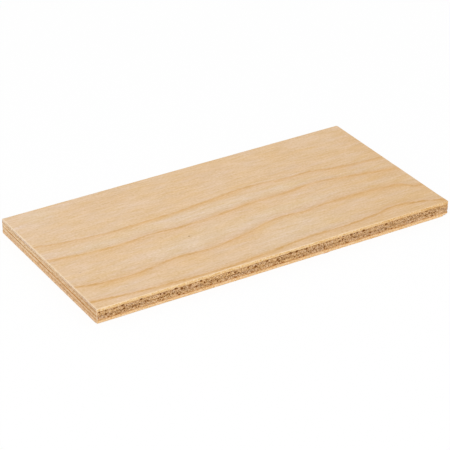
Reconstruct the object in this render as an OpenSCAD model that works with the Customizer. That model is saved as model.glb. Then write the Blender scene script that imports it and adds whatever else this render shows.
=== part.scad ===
// Plywood sheet of four plies: two crosswise core veneers between a face and a back veneer.
// Millimetres, +Z up. The origin is the middle of the underside, and the face grain runs along X.

/* [Sheet] */
// Length, along the grain of the face
sheet_length = 150; // [60:1:600]
// Width, across the grain of the face
sheet_width = 75; // [30:1:300]

/* [Plies] */
// Thickness of the face veneer, as sanded
face_thickness = 1.2; // [0.6:0.05:3]
// Thickness of the core veneer under the face
upper_core_thickness = 1.75; // [0.6:0.05:4]
// Thickness of the core veneer over the back
lower_core_thickness = 1.65; // [0.6:0.05:4]
// Thickness of the back veneer, as sanded
back_thickness = 1.4; // [0.6:0.05:3]

/* [Edges] */
// Radius that sanding gives the long arrises round the face and the back
arris_radius = 0.3; // [0.1:0.05:0.5]
// Radius of the four upright corners, seen from above
corner_radius = 0.25; // [0.1:0.05:3]

/* [Broken corner] */
// Length lost along the front edge
chip_length = 3; // [0.5:0.1:8]
// Length lost along the right-hand end
chip_width = 2.2; // [0.5:0.1:8]
// Height lost from the underside
chip_height = 1.05; // [0.2:0.05:2]

/* [Hidden] */
$fn = 48;

// Pale sapwood of the outer plies, and the browner wood of the core
face_colour = "#E5C6A0";
core_colour = "#C09A6E";

// Height of each glue line above the underside
back_glue = back_thickness;
core_glue = back_glue + lower_core_thickness;
face_glue = core_glue + upper_core_thickness;

// The broken surface is a plane that meets the three edges of the corner at the lengths lost
chip_slope = [1 / chip_length, 1 / chip_width, 1 / chip_height];
chip_depth = 1 / norm(chip_slope);
chip_normal = chip_slope * chip_depth;
chip_reach = 2 * norm([chip_length, chip_width, chip_height]);

// Plan of the whole sheet: a rectangle with rounded corners
module sheet_plan() {
    square([sheet_length - 2 * corner_radius, sheet_width], center = true);
    square([sheet_length, sheet_width - 2 * corner_radius], center = true);
    for (x = [-1, 1], y = [-1, 1])
        translate([x * (sheet_length / 2 - corner_radius), y * (sheet_width / 2 - corner_radius)])
            circle(corner_radius);
}

// Section of an outer ply of a given span, standing on its glue line, with both upper arrises rounded
module sanded_section(span, thickness) {
    shoulder = thickness - arris_radius;
    translate([-span / 2, 0]) square([span, shoulder]);
    translate([arris_radius - span / 2, 0]) square([span - 2 * arris_radius, thickness]);
    for (side = [-1, 1])
        translate([side * (span / 2 - arris_radius), shoulder]) circle(arris_radius);
}

// A flat ply cut to the plan of the sheet
module veneer(thickness) {
    linear_extrude(thickness) sheet_plan();
}

// An outer ply: its section along the sheet and its section across it, cut to the plan
module sanded_veneer(thickness) {
    intersection() {
        veneer(thickness);
        rotate([90, 0, 90]) linear_extrude(sheet_length, center = true) sanded_section(sheet_width, thickness);
        rotate([90, 0, 0]) linear_extrude(sheet_width, center = true) sanded_section(sheet_length, thickness);
    }
}

// What is missing at the front right-hand corner of the underside
module broken_corner() {
    translate([sheet_length / 2, -sheet_width / 2, 0]) mirror([1, 0, 0])
        rotate([0, acos(chip_normal.z), atan2(chip_normal.y, chip_normal.x)])
            translate([-chip_reach, -chip_reach, chip_depth - 2 * chip_reach]) cube(2 * chip_reach);
}

// Lays a ply on the glue line at a given height, less what the broken corner takes from it
module lay_ply(glue_line) {
    difference() {
        translate([0, 0, glue_line]) children();
        broken_corner();
    }
}

module face_veneer() {
    color(face_colour) lay_ply(face_glue) sanded_veneer(face_thickness);
}

module upper_core_veneer() {
    color(core_colour) lay_ply(core_glue) veneer(upper_core_thickness);
}

module lower_core_veneer() {
    color(core_colour) lay_ply(back_glue) veneer(lower_core_thickness);
}

// The back is an outer ply turned over, so that its sanded side is the underside
module back_veneer() {
    color(face_colour) lay_ply(back_glue) mirror([0, 0, 1]) sanded_veneer(back_thickness);
}

face_veneer();
upper_core_veneer();
lower_core_veneer();
back_veneer();
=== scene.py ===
"""Dresses a plywood sheet: four veneers with sawn edges and sanded arrises, on a pale studio floor."""
from math import radians

import bmesh
import bpy
import numpy as np
from bpy.props import FloatProperty, FloatVectorProperty, PointerProperty
from mathutils import Euler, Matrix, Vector


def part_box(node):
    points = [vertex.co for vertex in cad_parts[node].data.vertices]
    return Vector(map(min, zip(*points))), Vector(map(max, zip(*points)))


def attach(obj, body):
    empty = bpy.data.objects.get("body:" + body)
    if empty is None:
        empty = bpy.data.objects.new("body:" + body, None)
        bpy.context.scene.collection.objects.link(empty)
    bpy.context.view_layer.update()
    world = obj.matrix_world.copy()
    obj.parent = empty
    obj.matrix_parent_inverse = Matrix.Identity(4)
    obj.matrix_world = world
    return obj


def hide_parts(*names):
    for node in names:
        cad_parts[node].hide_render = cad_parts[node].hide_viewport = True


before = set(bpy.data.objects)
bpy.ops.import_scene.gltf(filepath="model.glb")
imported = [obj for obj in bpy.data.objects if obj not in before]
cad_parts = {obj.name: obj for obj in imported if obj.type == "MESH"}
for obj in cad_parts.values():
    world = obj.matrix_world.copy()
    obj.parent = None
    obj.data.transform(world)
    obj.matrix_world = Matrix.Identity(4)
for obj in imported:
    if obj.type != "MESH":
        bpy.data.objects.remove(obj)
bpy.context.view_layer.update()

bl_info = {
    "name": "Plywood sheet",
    "version": (1, 0, 0),
    "blender": (4, 5, 0),
    "location": "View3D > Sidebar > Plywood",
    "description": "Lays up the veneers of a small plywood sheet and lights it on a studio floor",
    "category": "Object",
}

# Lengths in this file are millimetres, and the meshes and properties are metres
MM = 0.001

# The sheet's own sizes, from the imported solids
half_length, half_width, sheet_top = np.array(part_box("face_veneer")[1]) / MM
back_glue_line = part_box("back_veneer")[1].z / MM
core_glue_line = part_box("lower_core_veneer")[1].z / MM
face_glue_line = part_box("upper_core_veneer")[1].z / MM

# Radius of the upright corners
CORNER_RADIUS = 0.25
# What is broken off one corner, along the front, along the end and up, how ragged it is and how coarsely
CHIP = np.array([3.0, 2.2, 1.05])
CHIP_RAGGEDNESS, CHIP_GRAIN = 0.18, 0.5
# Above the break that corner has split off upright, this far up and along, and less far lower down
SPLIT_HEIGHT, SPLIT_REACH = 2.3, 0.5
SPLIT_LIP, SPLIT_TAPER, SPLIT_TAPER_WAY = 0.08, 0.4, np.array([0.3, 1.0])
SPLIT_RAGGEDNESS, SPLIT_GRAIN = 0.25, 0.35
# The far right-hand corner is blunt: what has gone from each of its edges
BLUNT_REACH = 0.9
# Where sanding has left a torn brown fibre on the lower front arris: the middle and the half length
FIBRE_PLACE, FIBRE_REACH = 19.8, 1.8
# Larger torn spots of the front edge: their place along it and height, and their half lengths both ways
TORN_SPOTS = (
    (-73.9, 4.65, 0.4, 0.35), (-71.2, 3.1, 0.5, 0.4), (-64.7, 4.5, 0.6, 0.45),
    (-64.3, 3.1, 0.4, 0.3), (-60.3, 2.9, 1.0, 0.3), (-55.8, 3.3, 0.5, 0.4), (-57.4, 4.6, 0.6, 0.4),
    (-50.6, 2.8, 0.4, 0.3), (-49.8, 4.2, 0.4, 0.4), (-49.2, 2.8, 0.5, 0.3), (-48.2, 4.1, 0.5, 0.4),
    (-43.5, 4.6, 0.8, 0.5), (-43.0, 2.4, 0.5, 0.4), (-41.1, 4.0, 0.5, 0.4), (-37.7, 4.1, 0.6, 0.5),
    (-35.2, 2.9, 0.5, 0.45), (-33.3, 4.55, 0.6, 0.5), (-31.9, 3.5, 0.5, 0.5),
    (-29.1, 3.4, 0.4, 0.3), (-26.6, 2.35, 0.4, 0.4), (-21.8, 4.4, 0.4, 0.4),
    (-19.1, 3.6, 0.4, 0.4), (-13.7, 4.1, 0.5, 0.4), (-10.7, 3.3, 0.6, 0.4), (-5.7, 4.25, 0.5, 0.4),
    (-1.3, 3.4, 0.4, 0.4), (-0.6, 2.9, 0.4, 0.3), (4.2, 4.55, 0.6, 0.6), (7.0, 4.5, 0.7, 0.5),
    (11.2, 4.35, 0.5, 0.5), (14.6, 3.5, 0.4, 0.4), (16.5, 4.4, 0.4, 0.35), (18.9, 2.4, 0.3, 0.8),
    (25.7, 3.1, 0.6, 0.4), (26.9, 3.6, 0.5, 0.4), (27.3, 4.65, 0.5, 0.3), (30.7, 4.4, 0.5, 0.5),
    (32.3, 2.8, 0.5, 0.4), (33.5, 4.6, 0.5, 0.35), (36.2, 4.5, 0.7, 0.5), (39.4, 2.8, 0.6, 0.4),
    (46.5, 4.2, 0.5, 0.45), (66.2, 3.4, 0.4, 0.4),
)
# The torn spots that the glue over the back ply has stained, in the same way
STAINED_SPOTS = (
    (-70.6, 1.85, 0.35, 0.3), (-67.4, 1.75, 0.4, 0.3), (-66.3, 1.95, 0.4, 0.3),
    (-58.6, 2.0, 0.3, 0.5), (-48.9, 1.6, 0.5, 0.3), (-42.2, 1.85, 0.9, 0.35),
    (-40.5, 1.7, 0.5, 0.3), (-29.4, 1.85, 0.6, 0.35), (-25.4, 1.75, 0.35, 0.35),
    (-22.9, 1.65, 0.3, 0.25), (-19.1, 1.7, 0.65, 0.3), (-11.9, 1.65, 0.6, 0.3),
    (-9.8, 1.7, 0.35, 0.3), (-2.6, 1.7, 1.0, 0.3), (0.4, 1.6, 1.1, 0.25), (8.2, 1.75, 0.45, 0.35),
    (10.0, 1.7, 0.45, 0.35), (13.4, 2.2, 0.4, 0.3), (19.9, 1.65, 0.45, 0.25),
    (23.5, 2.2, 0.4, 0.3), (29.1, 1.65, 0.8, 0.3), (31.0, 2.4, 0.5, 0.3), (36.4, 2.1, 0.3, 0.6),
    (38.9, 1.75, 0.5, 0.35), (43.5, 1.7, 0.4, 0.3), (46.5, 2.1, 0.4, 0.4), (49.0, 1.75, 0.45, 0.4),
    (58.5, 1.8, 0.8, 0.3), (67.9, 1.8, 0.4, 0.3),
)
# How ragged the spots are, the length and height of that raggedness, and where their rims start and end
SPOT_RAGGEDNESS = 0.3
SPOT_FRAY = (0.3, 0.25)
SPOT_RIM = (1.15, 0.5)
# Where the core of the front edge is smoother, with few torn pores: from and to, and how soft the ends are
SMOOTH_STRETCHES = (
    (-67.2, -65.6), (-39.5, -36.5), (-9.5, -6.5), (-3.2, -1.5), (8.5, 12.8), (19.5, 23.0),
    (37.5, 45.0), (48.7, 55.5), (72.5, 75.0),
)
STRETCH_END = 0.5
# A brown smear down the front edge beside the near corner: its place, its height and its half lengths
SMEAR = (-74.2, 1.9, 0.35, 0.9)
# Open pores of two sizes: the spacing of their lattice and their radius, and how deep the small ones are
LARGE_PORES = (0.74, 0.2)
SMALL_PORES = (0.4, 0.12)
SMALL_PORE_DEPTH = 0.75
# A pore's stretch and lean, where its rim starts and ends, and the least and the rest of its radius
PORE_STRETCH, PORE_LEAN = 1.25, 0.3
PORE_RIM = (1.15, 0.55)
PORE_RADII = (0.6, 0.8)
# Waves of a glue line: their share of its wander, their length and their row in the noise
GLUE_WAVES = ((0.7, 13, 0.5), (0.3, 3.5, 7.5))
# Unevenness of the arris, the length of its waves, and how near a corner it turns sharper or blunter
ARRIS_UNEVENNESS, ARRIS_WAVE = 0.18, 5.0
SHARP_WAY = np.array([6.0, 0.5])
BLUNT_WAY = np.array([2.0, 0.5])
# Saw marks: the base, then the share, length and breadth of lines along the grain and of roughness
OUTER_MARKS = (1.0, (0.6, 9, 0.16), (0.9, 0.9, 0.3))
CORE_MARKS = (1.4, (1.0, 11, 0.2), (1.0, 0.5, 0.3))
# By the normal: where an edge turns into end grain, where it faces the front, and where the near corner is
END_TURN = (0.4, 0.9)
FRONT = -0.5
NEAR_TURN = (-1.03, -1.3)

# Fineness of the surfaces
OUTER_STEPS = (0.3, 0.45)
CORE_STEPS = (0.12, 0.5)
CORNER_STEPS = 6
ARRIS_ROWS = 7
OUTER_EDGE_ROWS = 9
CORE_EDGE_ROWS = 22
FACE_ROWS = 50
FACE_ROW_CROWDING = 1.15
# Rows of a hidden glued side, as shares of the way to the middle line
GLUED_ROWS = np.array([0.05, 1.0])
# Points closer than this are one, in metres, and edges that turn by more are sharp
WELD, SHARP_TURN = 1e-7, radians(50)

# Lattice of the random numbers for noise and pores, and the seeds of spots and breaks
LATTICE = (1024, 64)
SPOT_SEED, SPLIT_SEED, CHIP_SEED = 91, 73, 71

# Growth lines across the face, from the back edge to the front: points along and across the sheet
FACE_GROWTH_LINES = (
    ((-75, 45), (75, 42)),
    ((-75, 12.2), (-60, 9.3), (-43, 7.6), (-30, 8), (-14, 8.6), (5, 10.8), (17, 11.6), (25, 10.9),
     (34, 9.9), (43, 9.7), (53, 7.5), (63, 6), (75, 5.4)),
    ((-75, 1.2), (-62, -1.4), (-45, -2.2), (-32, -1.4), (-22, -2.3), (-5, -1.6), (14, 0.2),
     (25, 0.1), (43, 1.1), (53, -1.3), (63, -3.1), (75, -5.7)),
    ((-75, -20.4), (-61, -23.2), (-50, -23.2), (-33, -20.9), (-22, -21.7), (-4, -19.3),
     (13, -15.1), (25, -15.9), (35, -15), (52, -15), (60, -15.9), (66, -16.5), (68.4, -17.8),
     (69.9, -20), (71.2, -20.8), (75, -21.2)),
    ((-75, -31.8), (-62, -33.7), (-42, -35.4), (-25, -36.2), (-4, -34.9), (15, -32.8), (34, -32.9),
     (44, -32), (57, -30.1), (65, -31.9), (75, -35.3)),
    ((-75, -50), (75, -48)),
)
# How strong each growth line is at its left-hand and its right-hand end
FACE_LINE_STRENGTHS = ((0, 0), (0.85, 0.7), (1.0, 0.95), (1.5, 0.8), (1.5, 1.8), (0, 0))
# Small dark specks on the face: their places along and across the sheet, and how dark they are
SPECKS = ((-22.1, -9.9, 0.7), (-68.3, -12.4, 0.3), (-59, -29.3, 0.2), (70.5, -20.4, 0.22))
SPECK_SIZE = (0.7, 0.4)
# Broad places of the face: where they are, their half lengths both ways, and the factors on their colour
PALER = (1.005, 1.05, 1.12)
DIMMER = (0.98, 0.95, 0.89)
TONE_PATCHES = (
    (-15, 4, 62, 5, PALER), (-12, -11, 44, 7, PALER), (17, -27, 28, 9, PALER), (75, 20, 12, 17, DIMMER),
    (-55, 0, 17, 5, PALER), (24, -9, 22, 3.5, PALER), (31, 4.5, 12, 4.5, PALER), (-63, 32, 10, 6, PALER),
    (15, -19, 22, 4.5, PALER), (1, -33, 13, 4, PALER), (-29, -17, 18, 5, PALER),
    (39, 14.5, 19, 5.5, DIMMER), (9, 28, 18, 6.5, DIMMER), (-38, 30, 18, 8, DIMMER),
    (57, 6.5, 13, 4, DIMMER), (66, -8, 10, 4, DIMMER),
)
# The back shows a plainer cut of the same wood
BACK_GROWTH_LINES = (
    ((-75, 60), (75, 55)),
    ((-75, 24), (-40, 21), (0, 23), (35, 26), (75, 22)),
    ((-75, -9), (-45, -5), (-10, -8), (30, -11), (75, -6)),
    ((-75, -30), (-30, -27), (20, -31), (75, -28)),
    ((-75, -60), (75, -62)),
)
BACK_LINE_STRENGTHS = ((0, 0), (1, 1), (1, 1), (1, 1), (0, 0))
# Near a growth line the ring number grows by one in this length, at most so many times its mean slope
RING_LENGTH, STEEPEST_RING = 12.0, 2.8
# The rings dip through a ply by this much for each millimetre of depth
RING_DIP = 3.0

# Outer plies: their seed, the seed of their glue line, their growth lines and the strengths of those
FACE_PLY = (11, 3, FACE_GROWTH_LINES, FACE_LINE_STRENGTHS)
BACK_PLY = (31, 1, BACK_GROWTH_LINES, BACK_LINE_STRENGTHS)
# Core plies: their seed, glue lines, the seeds of those, the chance of a pore, and how dull the ends are
UPPER_CORE = (41, (core_glue_line, face_glue_line), (2, 3), 0.4, 0.17)
LOWER_CORE = (61, (back_glue_line, core_glue_line), (1, 2), 0.36, 0.26)

# Noises of the sanded side: the length and breadth of their features, their detail and their shift
TEETH = (2.2, 1.0, 2.0, 21.0)
STRANDS = (9, 0.8, 2.0, 23.0)
SWELL = (8, 7, 2.0, 27.0)
CLOUDS = (24, 6, 2.0, 9.0)
WARMTH = (8, 3, 2.0, 33.0)
STREAKS = (6, 0.7, 3.0, 0.0)
FLECKS = (1.0, 0.5, 1.0, 5.0)
NOISE_ROUGHNESS = 0.55
# How far clouds, warmer places, streaks and flecks tint it
TINTS = ((0.01, 0.06, 0.2), (0.025, 0.015, -0.03), (0.08, 0.12, 0.27), (0.09, 0.125, 0.23))
# How far the growth lines stray, how they swell, and where the plain wood behind the first one ends
LINE_STRAY = 0.11
SWELL_RANGE = (0.3, 0.7, 0.4, 1.1)
FIRST_LINE = (0.95, 1.0)
# Share of a growth line's own colour by the ring number's fraction
LINE_SHARES = ((0.0, 1.0), (0.03, 0.6), (0.07, 0.12), (0.12, 0.0), (0.945, 0.0), (0.975, 0.45), (1.0, 1.0))
# Base of the sanded side by that fraction: how far from honey to pale wood, and factors on its colour
NO_TINT = (1.0, 1.0, 1.0)
RING_TONES = (
    (0.0, 0.0, NO_TINT), (0.083, 0.0, NO_TINT), (0.167, 0.39, NO_TINT), (0.25, 0.6, NO_TINT),
    (0.333, 0.66, NO_TINT), (0.5, 0.82, NO_TINT), (0.62, 1.0, NO_TINT), (0.75, 1.0, (0.98, 0.974, 0.972)),
    (0.833, 1.0, (0.97, 0.96, 0.958)), (0.875, 1.0, (0.97, 0.943, 0.937)),
    (0.92, 1.0, (0.973, 0.924, 0.871)), (1.0, 0.0, NO_TINT),
)
# Paleness of the plain wood behind the first line, and how much softer the lines of the back are
PLAIN_PALENESS, BACK_SOFTNESS = 0.8, 0.45
# The wood darkens towards the front right-hand corner, across the sheet by this share of along it
DRIFT_ACROSS = 0.5
DRIFT_STOPS = ((0.0, (1.01, 1.04, 1.12)), (0.3, NO_TINT), (0.6, (0.985, 0.98, 0.975)),
               (0.8, (0.965, 0.95, 0.92)), (1.0, (0.945, 0.91, 0.83)))
# A soft oval has its full strength up to this share of its size
OVAL_CORE = 0.3
# Sawn wood: its grain, noises of its threads and blots, length and height of its mottles, its sheen
OUTER_FIGURE = ("X", (3.5, 0.28, 2.0, 11.0), (0.75, 0.35, 1.0, 15.0), (1.3, 0.4), 0.2)
CORE_FIGURE = ("Y", (20, 0.36, 2.0, 11.0), (1.1, 0.34, 1.0, 15.0), (0.32, 0.32), 0.05)
BLOT_WEIGHT, MOTTLE_DEPTH = 1.6, 3
# Patches of sawn end grain: their size, how far they tint it, and between which noise
PATCH_SIZE = (10, 10, 1.3)
PATCH_DEPTH = (0.03, 0.0, -0.13)
PATCH_RANGE = (0.3, 0.7)
# Factors on the colour of sawn long grain and end grain, by the noise on it
OUTER_SIDE_TONES = ((0.15, (0.74, 0.6, 0.32)), (0.5, NO_TINT), (0.85, (1.11, 1.28, 1.85)))
OUTER_END_TONES = ((0.31, (0.66, 0.59, 0.48)), (0.5, NO_TINT), (0.69, (1.18, 1.25, 1.36)))
CORE_SIDE_TONES = ((0.12, (0.68, 0.57, 0.4)), (0.5, NO_TINT), (0.88, (1.14, 1.22, 1.4)))
CORE_END_TONES = ((0.33, (0.66, 0.53, 0.34)), (0.45, (0.88, 0.83, 0.74)), (0.53, NO_TINT),
                  (0.65, (1.2, 1.3, 1.55)))
# Bare wood: its roughness, and the strength and height of its finest relief
WOOD_ROUGHNESS, BUMP_STRENGTH, BUMP_HEIGHT = 0.65, 0.25, 0.05

# The floor's size, how far it lies under the sheet, and how white its shadow stays to the camera
FLOOR_SIZE, FLOOR_GAP, SHADOW_LIFT = 4000.0, 0.05, 0.88
# Where the large lamp stands, its size, and the view that the photograph was taken from
KEY_PLACE = (-500, -950, 1700)
KEY_SIZE = 1500.0
SENSOR_WIDTH = 36
VIEW_TURN = radians(-31.216)
VIEW_DROP = radians(29.339)
VIEW_CENTRE = (-0.69, -5.685)


def srgb(red, green, blue):
    """A colour given as it shows on a screen, from 0 to 255, as linear light."""
    shown = np.array([red, green, blue]) / 255
    linear = np.where(shown <= 0.04045, shown / 12.92, ((shown + 0.055) / 1.055) ** 2.4)
    return tuple(float(part) for part in linear)


def ease(value, start, end):
    """A cubic step from 0 where value is at start to 1 where it is at end."""
    t = np.clip((value - start) / (end - start), 0, 1)
    return t * t * (3 - 2 * t)


def smooth_noise(along, across, seed):
    """Value noise from -1 to 1: random heights on a lattice of steps of 1, eased between the four nearest."""
    lattice = np.random.default_rng(seed).uniform(-1, 1, LATTICE)
    along, across = np.broadcast_arrays(along, across)
    column = np.floor(along).astype(int)
    row = np.floor(across).astype(int)
    u = ease(along - column, 0, 1)
    v = ease(across - row, 0, 1)
    near = [lattice[(column + right) % LATTICE[0], (row + above) % LATTICE[1]]
            for right, above in np.ndindex(2, 2)]
    start = near[0] * (1 - v) + near[1] * v
    end = near[2] * (1 - v) + near[3] * v
    return start * (1 - u) + end * u


def walk_plan(steps):
    """Walks once round the plan of the sheet, a rectangle whose corners are quarter circles.

    It turns about a centre at each corner, and between corners the centre moves along a straight line. steps
    are the strides along the length and the width. Returns each point's centre and outward normal, and how
    far the centre has moved by then.
    """
    signs = np.array([(1, 1), (-1, 1), (-1, -1), (1, -1)])
    corners = signs * (half_length - CORNER_RADIUS, half_width - CORNER_RADIUS)
    centres = []
    angles = []
    for turn, (start, end) in enumerate(zip(corners, np.roll(corners, -1, axis=0))):
        sweep = np.linspace(0, 1, CORNER_STEPS, endpoint=False)
        run = np.linspace(0, 1, round(np.hypot(*(end - start)) / steps[turn % 2]), endpoint=False)
        centres += [np.tile(start, (CORNER_STEPS, 1)), start + run[:, None] * (end - start)]
        angles += [turn + sweep, np.full(len(run), turn + 1.0)]
    angle = np.concatenate(angles) * np.pi / 2
    normals = np.stack([np.cos(angle), np.sin(angle)], -1)
    centres = np.concatenate(centres)
    strides = np.hypot(*np.diff(centres, axis=0).T)
    return centres, normals, np.concatenate([[0], np.cumsum(strides)])


def draw_in(centres, normals, inset):
    """The outline drawn in by an inset: the corners' circles shrink first, and then the rectangle does."""
    turn = np.clip(CORNER_RADIUS - inset, 0, None)[..., None]
    rest = np.clip(inset - CORNER_RADIUS, 0, None)[..., None]
    straight = np.array([half_length, half_width]) - CORNER_RADIUS
    return centres * (1 - rest / straight) + turn * normals


def edge_profile(thickness, arris, rows):
    """The edge of a ply seen end on, as insets and depths below its sanded side, for every column.

    The sanded side turns on a quarter circle of the arris radius, unless that is zero. The rows crowd
    towards the arris and the glue line.
    """
    down = (1 - np.cos(np.linspace(0, np.pi, rows)))[:, None] / 2
    depth = arris + (thickness - arris) * down
    inset = np.zeros(depth.shape)
    if np.any(arris):
        turn = np.linspace(0, np.pi / 2, ARRIS_ROWS)[:-1, None]
        inset = np.concatenate([arris * (1 - np.sin(turn)), inset])
        depth = np.concatenate([arris * (1 - np.cos(turn)), depth])
    return inset, depth


def stand_edge(centres, normals, inset, height):
    """Points of an edge: at each height, the outline drawn in by the inset there."""
    return np.concatenate([draw_in(centres, normals, inset), height[..., None]], -1)


def glue_wander(walked, seed, amount):
    """How far a glue line strays up and down along the edge: a long wave of noise and a shorter one."""
    waves = [share * smooth_noise(walked / length, row, seed) for share, length, row in GLUE_WAVES]
    return amount * sum(waves)


def saw_relief(finish, walked, height, end_grain, pore, marks, seed):
    """How far the edge is cut in: lines on long grain, roughness on end grain, and open pores."""
    base, (share, length, breadth), (roughness, long, tall) = marks
    lines = smooth_noise(walked / length, height / breadth, seed)
    rough = smooth_noise(walked / long, height / tall, seed + 1)
    marks = base + (1 - end_grain) * share * lines + end_grain * rough * roughness
    return finish.saw_depth / MM * marks + finish.pore_depth / MM * pore


def scattered_pits(along, up, spacing, radius, chance, seed):
    """Round pits, from 0 outside to 1 in the middle: each cell of a square lattice holds one pit or none.

    A pit has a random place in its cell and a random radius around the one given, and is there if its random
    number lies under the chance.
    """
    cells = np.random.default_rng(seed).random((*LATTICE, 4))
    least, rest = PORE_RADII
    column = np.floor(along / spacing).astype(int)
    row = np.floor(up / spacing).astype(int)
    pits = np.zeros(np.broadcast_shapes(column.shape, row.shape))
    for right, above in np.ndindex(3, 3):
        cell = cells[(column + right - 1) % LATTICE[0], (row + above - 1) % LATTICE[1]]
        beside = along - (column + right - 1 + cell[..., 0]) * spacing
        over = up - (row + above - 1 + cell[..., 1]) * spacing
        away = np.hypot(beside / PORE_STRETCH + PORE_LEAN * over, over)
        away = away / (radius * (least + rest * cell[..., 2]))
        pits = np.maximum(pits, ease(away, *PORE_RIM) * (cell[..., 3] < chance))
    return pits


def torn_pores(walked, height, chance, seed):
    """Open pores in sawn end grain, from 0 to 1: scattered pits, and smaller and shallower ones."""
    large = scattered_pits(walked, height, *LARGE_PORES, chance, seed)
    small = scattered_pits(walked, height, *SMALL_PORES, chance, seed + 1)
    return np.maximum(large, SMALL_PORE_DEPTH * small)


def patch(along, height, place, level, reach, rise, raggedness=0.0):
    """A spot on the front edge, from 0 outside to 1 inside: an ellipse whose soft rim noise can fray."""
    away = np.hypot((along - place) / reach, (height - level) / rise)
    fray = smooth_noise(along / SPOT_FRAY[0], height / SPOT_FRAY[1], SPOT_SEED)
    return ease(away + raggedness * fray, *SPOT_RIM)


def torn_spots(places, along, height, size=1.0):
    """The listed spots of the front edge together, with frayed rims, and larger or smaller by a factor."""
    spots = [patch(along, height, place, level, reach * size, rise * size, SPOT_RAGGEDNESS)
             for place, level, reach, rise in places]
    return np.max(spots, axis=0)


def cut_corner(points, side, reach):
    """Cuts off a right-hand upright corner: the one in front if side is -1, the far one if it is 1.

    What lies nearer to it than the reach, along both edges together, is pushed back on the diagonal.
    """
    gone = reach - (half_length - points[..., 0]) - (half_width - side * points[..., 1])
    return points + np.clip(gone, 0, None)[..., None] / 2 * (-1, -side, 0)


def break_corner(points):
    """Pushes what lies in the broken corner back onto the broken surfaces, along the corner's diagonal.

    Below a height it has split off upright, less far lower down. The underside has also lost a slanting
    piece, where a point's shares of the three lengths lost add up to less than one. Both are ragged.
    """
    into = np.array([-1, 1, 1])
    corner = np.array([half_length, -half_width, 0])
    inside = (points - corner) * into
    height = points[..., 2]
    ragged = smooth_noise(height / SPLIT_GRAIN, inside[..., 0] - inside[..., 1], SPLIT_SEED)
    reach = SPLIT_REACH * (1 + SPLIT_RAGGEDNESS * ragged)
    reach = reach * ease(height, SPLIT_HEIGHT + SPLIT_LIP, SPLIT_HEIGHT - SPLIT_LIP)
    taper = ease(height, *(SPLIT_HEIGHT - SPLIT_TAPER_WAY))
    points = cut_corner(points, -1, reach * (1 - SPLIT_TAPER * taper))
    shares = (points - corner) * into / CHIP
    ragged = smooth_noise(points[..., 0] / CHIP_GRAIN, points[..., 1] / CHIP_GRAIN, CHIP_SEED)
    short = np.clip(1 + CHIP_RAGGEDNESS * ragged - shares.sum(-1), 0, None)
    return points + short[..., None] * into * CHIP / 3


def line_height(points, along):
    """Where one growth line runs: a cubic curve through its points, with slopes from their neighbours."""
    x, y = np.array(points, float).T
    slope = np.gradient(y, x)
    k = np.clip(np.searchsorted(x, along) - 1, 0, len(x) - 2)
    step = x[k + 1] - x[k]
    t = (along - x[k]) / step
    left = (1 + 2 * t) * (1 - t) ** 2 * y[k] + t * (1 - t) ** 2 * step * slope[k]
    right = t ** 2 * (3 - 2 * t) * y[k + 1] + t ** 2 * (t - 1) * step * slope[k + 1]
    return left + right


def ring_number(points, lines, depth):
    """How many growth lines lie between a point and the back edge, as a smooth number.

    It grows by one from each line to the next, and close to a line by one in the ring length, however broad
    the ring is, so that all lines are equally fine. The rings dip as they go down through the ply.
    """
    across = points[..., 1] + RING_DIP * depth
    heights = [line_height(line, points[..., 0]) for line in lines]
    count = np.zeros(across.shape)
    for upper, lower in zip(heights, heights[1:]):
        breadth = upper - lower
        t = np.clip((upper - across) / breadth, 0, 1)
        steepness = np.minimum(breadth / RING_LENGTH, STEEPEST_RING)
        count += t + (steepness - 1) * (t - 3 * t ** 2 + 2 * t ** 3)
    return count


def line_strength(points, ring, strengths):
    """How strong the growth lines are at a point: it runs evenly along each line, and from line to line."""
    along = np.clip((points[..., 0] / half_length + 1) / 2, 0, 1)
    left, right = np.array(strengths, float).T
    number = np.arange(len(strengths))
    return (1 - along) * np.interp(ring, number, left) + along * np.interp(ring, number, right)


def shell(edge, centres, above, below):
    """A closed ply from its edge: the upper side, the edge and the lower side as one grid.

    Each column runs from the middle line of the sheet out over the upper side to the rim, down the edge and
    back under the lower side to that line. above and below are shares of the way from the rim to it. The
    columns of the two long edges meet on the line, and those of an end at one point of it.
    """
    reach = half_length - half_width
    middle = np.zeros((2, len(centres), 3))
    middle[..., 0] = np.clip(centres[:, 0], -reach, reach)
    middle[..., 2] = edge[[0, -1], :, 2].mean(axis=1, keepdims=True)
    upper = edge[0] + above[:, None, None] * (middle[0] - edge[0])
    lower = edge[-1] + below[:, None, None] * (middle[1] - edge[-1])
    return np.concatenate([upper, edge, lower])


def spread(values, above, below):
    """An edge's values by title, with those of its first and last row carried on over the two sides."""
    return {title: np.pad(value, ((above, below), (0, 0)), "edge") for title, value in values.items()}


def build_ply(node, points, values, material):
    """Makes a ply from its grid of points, whose columns close up, with its values as attributes.

    It takes the place of its solid, on the sheet's only body.
    """
    name = node + ".dressed"
    rows, columns = points.shape[:2]
    index = np.arange(rows * columns).reshape(rows, columns)
    beside = np.roll(index, -1, axis=1)
    faces = np.stack([index[:-1], index[1:], beside[1:], beside[:-1]], -1).reshape(-1, 4)
    mesh = bpy.data.meshes.new(name)
    mesh.from_pydata((points.reshape(-1, 3) * MM).tolist(), [], faces.tolist())
    for title, value in values.items():
        layer = mesh.attributes.new(title, "FLOAT", "POINT")
        layer.data.foreach_set("value", np.ascontiguousarray(value, np.float32).ravel())
    work = bmesh.new()
    work.from_mesh(mesh)
    bmesh.ops.remove_doubles(work, verts=work.verts, dist=WELD)
    work.to_mesh(mesh)
    work.free()
    mesh.shade_smooth()
    mesh.set_sharp_from_angle(angle=SHARP_TURN)
    mesh.materials.append(material)
    piece = bpy.data.objects.new(name, mesh)
    bpy.context.scene.collection.objects.link(piece)
    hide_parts(node)
    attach(piece, "root")


def cleared_tree(owner):
    """The empty node tree of a new material or world."""
    owner.use_nodes = True
    owner.node_tree.nodes.clear()
    return owner.node_tree


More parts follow.
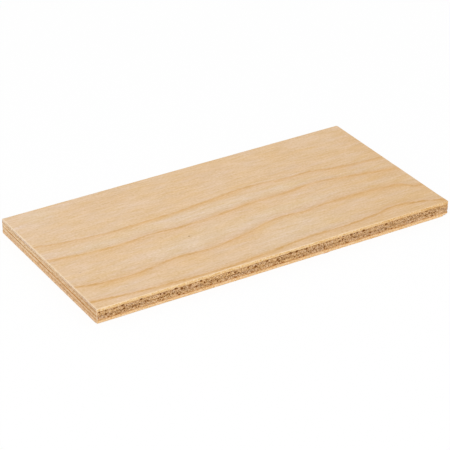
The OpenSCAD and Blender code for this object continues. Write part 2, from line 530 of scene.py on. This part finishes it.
def add_node(tree, kind, inputs=None, **settings):
    """Adds a shader node with its settings, and links or fills the inputs given by name or number."""
    made = tree.nodes.new("ShaderNode" + kind)
    for key, value in settings.items():
        setattr(made, key, value)
    for key, value in (inputs or {}).items():
        if isinstance(value, bpy.types.NodeSocket):
            tree.links.new(value, made.inputs[key])
        else:
            made.inputs[key].default_value = value
    return made


def math_node(tree, operation, first, second=0.0, third=0.0):
    """Arithmetic on one, two or three values."""
    return add_node(tree, "Math", {0: first, 1: second, 2: third}, operation=operation).outputs[0]


def map_range(tree, value, start, end, low=0.0, high=1.0):
    """A smooth step of a value from low to high."""
    inputs = {"Value": value, "From Min": start, "From Max": end, "To Min": low, "To Max": high}
    return add_node(tree, "MapRange", inputs, interpolation_type="SMOOTHSTEP").outputs["Result"]


def mix_colour(tree, share, first, second, mode="MIX"):
    """Mixes two colours, each a socket or a plain colour."""
    first, second = [c if isinstance(c, bpy.types.NodeSocket) else (*c, 1) for c in (first, second)]
    inputs = {0: share, 6: first, 7: second}
    return add_node(tree, "Mix", inputs, data_type="RGBA", blend_type=mode).outputs[2]


def ramp(tree, value, stops):
    """A colour that runs through (place, colour) stops."""
    made = add_node(tree, "ValToRGB", {"Fac": value})
    elements = made.color_ramp.elements
    while len(elements) < len(stops):
        elements.new(0.5)
    for element, (place, colour) in zip(elements, stops):
        element.position = place
        element.color = (*colour, 1)
    return made.outputs["Color"]


def attribute(tree, title):
    """A value that the ply carries on its points."""
    return add_node(tree, "Attribute", attribute_name=title).outputs["Fac"]


def map_place(tree, shift, scale):
    """The place of a point on the sheet in metres, scaled and then shifted."""
    place = add_node(tree, "TexCoord").outputs["Object"]
    inputs = {"Vector": place, "Location": shift, "Scale": scale}
    return add_node(tree, "Mapping", inputs).outputs[0]


def box_noise(tree, sizes, detail, shift):
    """Noise whose features have the given lengths along X, Y and Z."""
    mapped = map_place(tree, (shift,) * 3, tuple(1 / (size * MM) for size in sizes))
    inputs = {"Vector": mapped, "Scale": 1.0, "Detail": detail, "Roughness": NOISE_ROUGHNESS}
    return add_node(tree, "TexNoise", inputs).outputs["Fac"]


def grain_noise(tree, grain, along, across, detail, shift):
    """Noise drawn out along the grain, which runs along X or Y, with features of the given lengths."""
    sizes = {"X": (along, across, across), "Y": (across, along, across)}[grain]
    return box_noise(tree, sizes, detail, shift)


def tint(tree, colour, noise, depth, low=0.2, high=0.8):
    """Multiplies a colour by a factor that follows a noise, from one less the depth to one more than it."""
    stops = ((low, tuple(1 - part for part in depth)), (high, tuple(1 + part for part in depth)))
    return mix_colour(tree, 1.0, colour, ramp(tree, noise, stops), "MULTIPLY")


def growth_lines(tree, grain, ring_stops, line, plain):
    """Colour of sanded long grain.

    The base runs from line to line with the ring number, and is plain behind the first line. The lines are
    feathered by noise along the grain, and fade and strengthen along their way.
    """
    teeth = grain_noise(tree, grain, *TEETH)
    strands = grain_noise(tree, grain, *STRANDS)
    swell = grain_noise(tree, grain, *SWELL)
    stray = math_node(tree, "SUBTRACT", math_node(tree, "ADD", teeth, strands), 1.0)
    ring = math_node(tree, "ADD", attribute(tree, "ring"), math_node(tree, "MULTIPLY", stray, LINE_STRAY))
    part = math_node(tree, "FRACT", ring)
    colour = mix_colour(tree, map_range(tree, ring, *FIRST_LINE), plain, ramp(tree, part, ring_stops))
    near = ramp(tree, part, [(place, (share,) * 3) for place, share in LINE_SHARES])
    strength = map_range(tree, swell, *SWELL_RANGE)
    strength = math_node(tree, "MULTIPLY", strength, attribute(tree, "vigour"))
    return mix_colour(tree, math_node(tree, "MULTIPLY", near, strength), colour, line)


def slanting_drift(tree):
    """Runs from 0 at the back left-hand corner to 1 at the front right-hand one, mostly along the sheet."""
    scale = (1 / (half_length * MM), DRIFT_ACROSS / (half_width * MM), 0)
    place = add_node(tree, "SeparateXYZ", {0: map_place(tree, (0, 0, 0), scale)})
    value = math_node(tree, "SUBTRACT", place.outputs[0], place.outputs[1])
    most = 1 + DRIFT_ACROSS
    inputs = {"Value": value, "From Min": -most, "From Max": most}
    return add_node(tree, "MapRange", inputs).outputs["Result"]


def soft_oval(tree, x, y, half_sizes, strength):
    """A soft oval around a place on the sanded side: from 0 at its rim to the strength in its middle."""
    scale = (*(1 / (size * MM) for size in half_sizes), 0)
    shift = (*(-part / size for part, size in zip((x, y), half_sizes)), 0)
    inputs = {0: map_place(tree, shift, scale)}
    away = add_node(tree, "VectorMath", inputs, operation="LENGTH").outputs["Value"]
    return map_range(tree, away, OVAL_CORE, 1.0, strength, 0.0)


def veneer_wood(name, figure, rings, side_stops, end_stops, colours, specks=(), patches=()):
    """Bare wood of one veneer.

    Its sanded side takes its colour from the ring number, with clouds, warmer places, streaks and flecks.
    Sawn long grain has the figure's threads and blots, and sawn end grain its mottles and open pores, whose
    dark colour is partly their own and partly painted shade. Glue stains the borders, and the arrises are
    paler, partly from sanding and partly as a painted highlight.
    """
    material = bpy.data.materials.new(name)
    tree = cleared_tree(material)
    grain, thread, blot, (long, tall), sheen = figure
    end_grain = attribute(tree, "end_grain")
    noises = [grain_noise(tree, grain, *noise) for noise in (CLOUDS, WARMTH, STREAKS, FLECKS)]
    colour = growth_lines(tree, grain, *rings)
    for noise, depth in zip(noises, TINTS):
        colour = tint(tree, colour, noise, depth)
    colour = mix_colour(tree, 1.0, colour, ramp(tree, slanting_drift(tree), DRIFT_STOPS), "MULTIPLY")
    for x, y, length, width, factors in patches:
        colour = mix_colour(tree, soft_oval(tree, x, y, (length, width), 1.0), colour, factors, "MULTIPLY")
    for x, y, darkness in specks:
        colour = mix_colour(tree, soft_oval(tree, x, y, SPECK_SIZE, darkness), colour, colours.pore)

    threads = grain_noise(tree, grain, *thread)
    blots = grain_noise(tree, grain, *blot)
    blots = math_node(tree, "SUBTRACT", blots, 0.5)
    side = ramp(tree, math_node(tree, "MULTIPLY_ADD", blots, BLOT_WEIGHT, threads), side_stops)
    sizes = {"X": (MOTTLE_DEPTH, long, tall), "Y": (long, MOTTLE_DEPTH, tall)}[grain]
    mottle = box_noise(tree, sizes, 1.0, 13.0)
    end = ramp(tree, mottle, end_stops)
    end = tint(tree, end, box_noise(tree, PATCH_SIZE, 2.0, 17.0), PATCH_DEPTH, *PATCH_RANGE)
    sawn = mix_colour(tree, end_grain, side, end)
    # Open pores and torn spots take a dark colour that is partly their own and partly painted shade
    sawn = mix_colour(tree, attribute(tree, "pore"), sawn, colours.pore)
    colour = mix_colour(tree, attribute(tree, "sawn"), colour, sawn)
    colour = mix_colour(tree, attribute(tree, "glue"), colour, colours.glue, "MULTIPLY")
    # Paler arrises: partly wood bared by sanding, partly a painted highlight
    colour = mix_colour(tree, attribute(tree, "arris"), colour, colours.sanded)

    relief = math_node(tree, "ADD", *noises[2:])
    relief = math_node(tree, "ADD", relief, math_node(tree, "MULTIPLY", mottle, end_grain))
    inputs = {"Strength": BUMP_STRENGTH, "Distance": BUMP_HEIGHT * MM, "Height": relief}
    bump = add_node(tree, "Bump", inputs)
    inputs = {"Base Color": colour, "Roughness": WOOD_ROUGHNESS, "Specular IOR Level": sheen,
              "Normal": bump.outputs[0]}
    surface = add_node(tree, "BsdfPrincipled", inputs)
    add_node(tree, "OutputMaterial", {"Surface": surface.outputs[0]})
    return material


def length_setting(name, description, size):
    """A length that the panel shows, given in millimetres."""
    return FloatProperty(name=name, description=description, default=size * MM, unit="LENGTH")


def colour_setting(name, description, *shown):
    """A colour that the panel shows, given as it shows on a screen."""
    return FloatVectorProperty(name=name, description=description, default=srgb(*shown), subtype="COLOR")


class EdgeFinish(bpy.types.PropertyGroup):
    """How the sheet was sawn and sanded."""

    arris: length_setting("Arris radius", "Radius that sanding gives the edges of the outer plies", 0.3)
    pore_depth: length_setting("Pore depth", "Depth of the open pores and torn spots in the end grain", 0.2)
    saw_depth: length_setting("Saw roughness", "Height of the roughness that the saw left", 0.05)
    wander: length_setting("Glue line wander", "How far the glue lines stray from level", 0.08)


class WoodColours(bpy.types.PropertyGroup):
    """Colours of the veneers and the glue."""

    pale: colour_setting("Pale wood", "Wood of the face behind a growth line", 225, 193.5, 156)
    honey: colour_setting("Honey wood", "Wood of the face in front of a growth line", 223.5, 185.5, 140)
    growth_line: colour_setting("Growth line", "The amber line where one year's growth ends", 211, 166, 108)
    face_side: colour_setting("Face long grain", "Sawn long edges of the face veneer", 233, 194, 135)
    face_end: colour_setting("Face end grain", "Sawn ends of the face veneer", 226, 198, 166)
    back_side: colour_setting("Back long grain", "Sawn long edges of the back veneer", 236, 196, 141)
    back_end: colour_setting("Back end grain", "Sawn ends of the back veneer", 230, 191, 147)
    core_side: colour_setting("Core long grain", "Core veneers along their grain", 231, 199, 158)
    core_end: colour_setting("Core end grain", "Core veneers cut across their grain", 216, 177, 131)
    # Dark colour of pores and torn spots, partly their own and partly painted shade; the face's specks use it
    # too
    pore: colour_setting("Open pore", "Bottom of a pore or a torn spot", 124, 74, 6)
    glue: colour_setting("Glue stain", "What the glue leaves of the wood's own colour", 212, 164, 90)
    # Pale arris wood: partly bared by sanding, partly a painted highlight and a painted reflection of the
    # floor
    sanded: colour_setting("Sanded arris", "Wood of the sanded edges", 244, 220, 190)


class StudioStage(bpy.types.PropertyGroup):
    """The floor, the light and the camera."""

    floor: colour_setting("Floor", "Colour of the floor", 250, 250, 250)
    sky: FloatProperty(name="Sky strength", description="Strength of the even light", default=0.73)
    key: FloatProperty(name="Key power", description="Power of the soft lamp", default=16.4, unit="POWER")
    lens: FloatProperty(
        name="Lens", description="Focal length on a 36 mm sensor", default=157.44, unit="CAMERA",
    )
    distance: length_setting("Camera distance", "From the camera to the sheet", 735.9)


def blend(first, second, share):
    """A colour part of the way from one colour to another."""
    return tuple(a + (b - a) * share for a, b in zip(first, second))


def tinted(colour, factors):
    """A colour with its parts multiplied."""
    return tuple(part * factor for part, factor in zip(colour, factors))


def toned(colour, tones):
    """Stops of a ramp from a colour and, for each place, the factors on it."""
    return [(place, tinted(colour, factors)) for place, factors in tones]


def outer_wood(name, colours, side, end, softness, specks=(), patches=()):
    """Sanded veneer of an outer ply, with grain along the sheet. softness takes from the growth lines."""
    pale, honey = colours.pale, colours.honey
    stops = [(place, tinted(blend(honey, pale, share), factors)) for place, share, factors in RING_TONES]
    rings = (stops, blend(colours.growth_line, honey, softness), blend(honey, pale, PLAIN_PALENESS))
    sides = toned(side, OUTER_SIDE_TONES)
    ends = toned(end, OUTER_END_TONES)
    return veneer_wood(name, OUTER_FIGURE, rings, sides, ends, colours, specks, patches)


def core_wood(name, colours):
    """Core veneer, with grain across the sheet and open pores in its sawn ends."""
    side = colours.core_side
    sides = toned(side, CORE_SIDE_TONES)
    ends = toned(colours.core_end, CORE_END_TONES)
    return veneer_wood(name, CORE_FIGURE, (sides, side, side), sides, ends, colours)


def outer_arris(radius, is_face, centres, normals, walked, fibre, seed):
    """Radius of the sanded arris along its way round, made uneven by noise.

    The face's is smaller at the front right-hand corner. The back's is larger at the near corner, smaller
    along the left-hand end, and along the front it shrinks to the right, most where the torn fibre is.
    """
    arris = radius * (1 + ARRIS_UNEVENNESS * smooth_noise(walked / ARRIS_WAVE, 2.5, seed + 3))
    corner = half_length + half_width
    if is_face:
        sharp = ease(centres[:, 0] - centres[:, 1], *(corner - SHARP_WAY))
        return arris * (1 - 0.55 * sharp)
    blunt = ease(-centres.sum(axis=1), *(corner - BLUNT_WAY))
    left_end, front = [ease(normals[:, axis], -0.9, -1.0) * (1 - blunt) for axis in (0, 1)]
    arris = arris * (1 + blunt - 0.6 * left_end)
    arris = arris * (1 + front * (0.8 * ease(centres[:, 0], -10, -60) - 0.5 * ease(centres[:, 0], 0, 50)))
    return arris * (1 - fibre * (0.65 + 0.25 * smooth_noise(walked / 0.8, 4.5, seed + 4)))


def arris_wear_and_highlight(turned, end_grain, rightward, centres, normals, walked, seed):
    """How pale the arrises are, from 0 to 1: partly wood bared by sanding and partly a painted highlight.

    It is where the arris turns, unevenly, more on the ends and less on the sides that face away from the
    lamp, as a painted highlight would be. It fades to the right along the front, and elsewhere towards the
    front. On the back's lower arris it also stands for the floor's reflected light, a painted reflection. The
    near upright corner is a painted highlight as well.
    """
    wear_and_highlight = ease(turned, -0.05, 0.25) * (1 - 0.5 * ease(turned, 0.6, 1.0))
    wear_and_highlight = wear_and_highlight * (0.5 + 0.45 * end_grain + 0.25 * smooth_noise(walked / 1.6, 1.5, seed + 2))
    wear_and_highlight = wear_and_highlight * (0.1 + 0.9 * ease(normals.sum(axis=1), 0.5, -0.5))
    frontward = ease(-centres[:, 1], -half_width, half_width)
    wear_and_highlight = wear_and_highlight * np.where(normals[:, 1] < FRONT, 1.1 - 0.65 * rightward, 1.1 - 0.35 * frontward)
    return np.maximum(wear_and_highlight, 0.7 * ease(normals.sum(axis=1), *NEAR_TURN))


def lay_outer_ply(node, finish, colours, is_face):
    """Makes the face or the back veneer.

    Its sanded side is a fine grid that carries the ring number. Its long edges are smooth with a few lines
    along the grain, and its ends are finely rough. On the back some torn fibres are left on the arris.
    """
    centres, normals, walked = walk_plan(OUTER_STEPS)
    seed, glue_seed, lines, strengths = FACE_PLY if is_face else BACK_PLY
    fibre = (centres[:, 1] < 0) * ease(np.abs(centres[:, 0] - FIBRE_PLACE), FIBRE_REACH, 0.4 * FIBRE_REACH)
    arris = outer_arris(finish.arris / MM, is_face, centres, normals, walked, fibre, seed)
    wander = glue_wander(walked, glue_seed, finish.wander / MM)
    thickness = sheet_top - face_glue_line - wander if is_face else back_glue_line + wander
    inset, depth = edge_profile(thickness, arris, OUTER_EDGE_ROWS)
    height = sheet_top - depth if is_face else depth
    turned = inset / arris
    sawn = ease(turned, 0.75, 0.25)
    end_grain = np.broadcast_to(ease(np.abs(normals[:, 0]), *END_TURN), height.shape)
    along = np.broadcast_to(centres[:, 0], height.shape)
    torn = (normals[:, 1] < FRONT) * torn_spots(TORN_SPOTS, along, height)
    relief = saw_relief(finish, walked, height, end_grain, torn, OUTER_MARKS, seed)
    edge = stand_edge(centres, normals, inset + relief * sawn, height)

    # Glue stains the border, and on the face also the right of the front and the ends near the front
    at_glue = 1 - ease(depth[-1] - depth, 0.05, 0.3)
    rightward = ease(centres[:, 0], 20, 65)
    # Paler arrises, partly from sanding and partly a painted highlight on the sides that face the lamp
    wear_and_highlight = arris_wear_and_highlight(turned, end_grain, rightward, centres, normals, walked, seed)
    if is_face:
        front = ease(normals[:, 1], -END_TURN[0], -END_TURN[1])
        near_corner = ease(-centres[:, 1], 0, 0.9 * half_width)
        stain = (0.2 + 0.28 * end_grain) * at_glue
        stain = stain + sawn * (0.15 * front * rightward + 0.33 * end_grain * near_corner)
    else:
        torn_fibre = 0.8 * fibre * ease(height, 0.45, 0.15) * ease(turned, 1.0, 0.6)
        stain = np.maximum((0.45 + 0.1 * end_grain) * at_glue, torn_fibre)
        wear_and_highlight = wear_and_highlight * (1 - fibre)
    values = {"sawn": sawn, "end_grain": end_grain, "arris": wear_and_highlight, "glue": stain, "pore": torn}
    sanded_rows = np.linspace(1, 0, FACE_ROWS)[:-1] ** FACE_ROW_CROWDING
    points = cut_corner(shell(edge, centres, sanded_rows, GLUED_ROWS), 1, BLUNT_REACH)
    values = spread(values, FACE_ROWS - 1, len(GLUED_ROWS))
    for title in ("arris", "glue", "pore", "end_grain"):
        values[title][:FACE_ROWS - 1] = 0
    values["ring"] = ring_number(points, lines, np.abs(points[..., 2] - points[0, 0, 2]))
    values["vigour"] = line_strength(points, values["ring"], strengths)
    if is_face:
        material = outer_wood("face wood", colours, colours.face_side, colours.face_end, 0.0, SPECKS,
                              TONE_PATCHES)
    else:
        material = outer_wood("back wood", colours, colours.back_side, colours.back_end, BACK_SOFTNESS)
        points = break_corner(points)[::-1]
        values = {title: value[::-1] for title, value in values.items()}
    build_ply(node, points, values, material)


def lay_core_ply(node, finish, ply, material):
    """Makes a core veneer: its sides are hidden, its long edges are torn end grain, its ends long grain."""
    seed, bounds, glue_seeds, pore_chance, dullness = ply
    centres, normals, walked = walk_plan(CORE_STEPS)
    wander = finish.wander / MM
    bottom, top = [line + glue_wander(walked, number, wander) for line, number in zip(bounds, glue_seeds)]
    height = top - edge_profile(top - bottom, 0.0, CORE_EDGE_ROWS)[1]
    end_grain = np.broadcast_to(ease(np.abs(normals[:, 1]), *END_TURN), height.shape)
    front = normals[:, 1] < FRONT
    along = np.broadcast_to(centres[:, 0], height.shape)
    above_core = height - core_glue_line
    above_back = height - back_glue_line
    to_glue = np.minimum(top - height, height - bottom)
    near_face = 1 - ease(face_glue_line - height, 0.1, 0.45)
    near_core = 1 - ease(np.abs(core_glue_line - 0.2 - height), 0.1, 0.5)
    near_back = 1 - ease(above_back, 0.1, 0.75)

    # Pores are torn open by chance, most beside the middle glue line and least where the saw cut smoothly
    chance = pore_chance + 0.1 * near_face + 0.25 * near_core - 0.25 * near_back
    chance = chance * (1 + 0.5 * smooth_noise(walked / 5, height / 1.5, seed + 2))
    stretches = [ease(np.abs(along - (start + end) / 2) - (end - start) / 2, STRETCH_END, -STRETCH_END)
                 for start, end in SMOOTH_STRETCHES]
    smooth = front * np.max(stretches, axis=0)
    pore = torn_pores(walked, height, chance * (1 - 0.65 * smooth), seed)
    pore = np.maximum(pore, 0.95 * front * torn_spots(TORN_SPOTS, along, height))
    stained = front * torn_spots(STAINED_SPOTS, along, height)
    pore = end_grain * np.maximum(pore * (1 - 0.8 * near_back), 0.5 * stained)
    relief = saw_relief(finish, walked, height, end_grain, pore, CORE_MARKS, seed + 5)
    edge = stand_edge(centres, normals, relief, height)

    # Glue stains the borders, the pores over the back, the smear and torn spots, and dulls the ends
    stain = 1 - ease(to_glue, 0.06, 0.28 + 0.25 * end_grain)
    stain = stain * (0.85 - 0.1 * end_grain + 0.4 * smooth_noise(walked / 5, height, seed + 7))
    stain = stain * (1 - end_grain * (0.5 + 0.35 * ease(np.abs(above_core), 0.9, 0.4)))
    stain = stain * (1 + (1 - end_grain) * (0.4 * near_core - 0.55 * near_back - 0.25 * near_face))
    stain = stain + end_grain * (0.05 + 0.4 * pore + 0.45 * stained) * (1 - ease(above_back, 0.3, 1.4))
    stain = np.maximum(stain, front * 0.6 * patch(along, height, *SMEAR))
    stain = np.maximum(stain, front * 0.35 * torn_spots(TORN_SPOTS, along, height, 1.6))
    stain = stain + (1 - end_grain) * dullness * ease(-centres[:, 1], -0.6 * half_width, 0.3 * half_width)

    # A torn seam runs under the middle glue line on the long edges, and a pale line lower down on the ends
    seam = end_grain * (0.24 + 0.1 * smooth_noise(walked / 2.5, 3.5, seed + 8))
    seam = seam * ease(np.abs(above_core + 0.13), 0.4, 0.1)
    pale = (1 - end_grain) * 0.2 * ease(np.abs(above_core + 0.65), 0.25, 0.05)
    values = {
        "sawn": np.ones(height.shape),
        "end_grain": end_grain,
        "pore": np.maximum(pore, seam + 0.12 * end_grain * smooth),
        "glue": stain,
        # The near upright corner is pale as a painted highlight
        "arris": np.maximum(pale, 0.8 * ease(normals.sum(axis=1), *NEAR_TURN)),
    }
    points = cut_corner(shell(edge, centres, GLUED_ROWS[::-1], GLUED_ROWS), 1, BLUNT_REACH)
    points = break_corner(points)
    values = spread(values, len(GLUED_ROWS), len(GLUED_ROWS))
    build_ply(node, points, values, material)


class PLYWOOD_OT_face_veneer(bpy.types.Operator):
    """Lay the face veneer, with its growth lines and sanded arris"""

    bl_idname = "plywood.face_veneer"
    bl_label = "Lay face veneer"

    def execute(self, context):
        scene = context.scene
        lay_outer_ply("face_veneer", scene.plywood_edges, scene.plywood_colours, True)
        return {"FINISHED"}


class PLYWOOD_OT_core_veneers(bpy.types.Operator):
    """Lay the two core veneers, with torn end grain on the long edges"""

    bl_idname = "plywood.core_veneers"
    bl_label = "Lay core veneers"

    def execute(self, context):
        finish = context.scene.plywood_edges
        material = core_wood("core wood", context.scene.plywood_colours)
        lay_core_ply("upper_core_veneer", finish, UPPER_CORE, material)
        lay_core_ply("lower_core_veneer", finish, LOWER_CORE, material)
        return {"FINISHED"}


class PLYWOOD_OT_back_veneer(bpy.types.Operator):
    """Lay the back veneer, with its broken corner"""

    bl_idname = "plywood.back_veneer"
    bl_label = "Lay back veneer"

    def execute(self, context):
        scene = context.scene
        lay_outer_ply("back_veneer", scene.plywood_edges, scene.plywood_colours, False)
        return {"FINISHED"}


class PLYWOOD_OT_stage(bpy.types.Operator):
    """Set the floor, the light and the camera"""

    bl_idname = "plywood.stage"
    bl_label = "Set stage"

    def execute(self, context):
        stage = context.scene.plywood_stage
        lay_floor(stage)
        light_stage(context.scene, stage)
        place_camera(context.scene, stage)
        return {"FINISHED"}


def lay_floor(stage):
    """A flat floor that takes the sheet's shadow and is white to the camera."""
    corner = FLOOR_SIZE / 2 * MM
    signs = np.array([(-1, -1, 0), (1, -1, 0), (1, 1, 0), (-1, 1, 0)])
    mesh = bpy.data.meshes.new("floor")
    mesh.from_pydata((signs * corner - (0, 0, FLOOR_GAP * MM)).tolist(), [], [(0, 1, 2, 3)])
    material = bpy.data.materials.new("pale floor")
    tree = cleared_tree(material)
    matt = add_node(tree, "BsdfDiffuse", {"Color": (*stage.floor, 1)})
    white = add_node(tree, "Emission", {"Color": (1, 1, 1, 1), "Strength": 1.0})
    path = add_node(tree, "LightPath")
    seen = math_node(tree, "MAXIMUM", path.outputs["Is Camera Ray"], path.outputs["Is Glossy Ray"])
    seen = math_node(tree, "MAXIMUM", seen, path.outputs["Is Transmission Ray"])
    share = math_node(tree, "MULTIPLY", seen, SHADOW_LIFT)
    surface = add_node(tree, "MixShader", {0: share, 1: matt.outputs[0], 2: white.outputs[0]})
    add_node(tree, "OutputMaterial", {"Surface": surface.outputs[0]})
    mesh.materials.append(material)
    floor = bpy.data.objects.new("floor", mesh)
    bpy.context.scene.collection.objects.link(floor)


def light_stage(scene, stage):
    """Even light from all round, white to the camera, and one large soft lamp in front on the left."""
    world = bpy.data.worlds.new("studio")
    scene.world = world
    tree = cleared_tree(world)
    even = add_node(tree, "Background", {"Color": (1, 1, 1, 1), "Strength": stage.sky})
    white = add_node(tree, "Background", {"Color": (1, 1, 1, 1), "Strength": 1.0})
    path = add_node(tree, "LightPath")
    inputs = {0: path.outputs["Is Camera Ray"], 1: even.outputs[0], 2: white.outputs[0]}
    surface = add_node(tree, "MixShader", inputs)
    add_node(tree, "OutputWorld", {"Surface": surface.outputs[0]})

    lamp = bpy.data.lights.new("soft key", "AREA")
    lamp.energy = stage.key
    lamp.size = KEY_SIZE * MM
    key = bpy.data.objects.new("soft key", lamp)
    key.location = Vector(KEY_PLACE) * MM
    key.rotation_euler = (-key.location).to_track_quat("-Z", "Y").to_euler()
    scene.collection.objects.link(key)
    scene.view_settings.view_transform = "Standard"


def place_camera(scene, stage):
    """A level camera that looks down on the sheet from the front, on its left, as the photograph does."""
    turn = Euler((radians(90) - VIEW_DROP, 0, VIEW_TURN))
    data = bpy.data.cameras.new("camera")
    data.sensor_width = SENSOR_WIDTH
    data.lens = stage.lens
    camera = bpy.data.objects.new("camera", data)
    aim = Vector((0, 0, sheet_top * MM))
    offset = Vector((VIEW_CENTRE[0] * MM, VIEW_CENTRE[1] * MM, stage.distance))
    camera.location = aim + turn.to_matrix() @ offset
    camera.rotation_euler = turn
    scene.collection.objects.link(camera)
    scene.camera = camera


class PLYWOOD_PT_sheet(bpy.types.Panel):
    """Lists the steps and settings of the sheet."""

    bl_label = "Plywood sheet"
    bl_idname = "PLYWOOD_PT_sheet"
    bl_space_type = "VIEW_3D"
    bl_region_type = "UI"
    bl_category = "Plywood"

    def draw(self, context):
        for step in STEPS:
            self.layout.operator(step.bl_idname)
        for group in SETTINGS:
            box = self.layout.box()
            settings = getattr(context.scene, group)
            for title in settings.bl_rna.properties.keys():
                if title not in ("rna_type", "name"):
                    box.prop(settings, title)


STEPS = (PLYWOOD_OT_face_veneer, PLYWOOD_OT_core_veneers, PLYWOOD_OT_back_veneer, PLYWOOD_OT_stage)
SETTINGS = {"plywood_edges": EdgeFinish, "plywood_colours": WoodColours, "plywood_stage": StudioStage}
CLASSES = (*SETTINGS.values(), *STEPS, PLYWOOD_PT_sheet)


def register():
    for item in CLASSES:
        bpy.utils.register_class(item)
    for title, group in SETTINGS.items():
        setattr(bpy.types.Scene, title, PointerProperty(type=group))


def unregister():
    for title in SETTINGS:
        delattr(bpy.types.Scene, title)
    for item in reversed(CLASSES):
        bpy.utils.unregister_class(item)


def main():
    """Lays up the sheet and sets the stage."""
    register()
    bpy.ops.plywood.face_veneer()
    bpy.ops.plywood.core_veneers()
    bpy.ops.plywood.back_veneer()
    bpy.ops.plywood.stage()


if __name__ == "__main__":
    main()
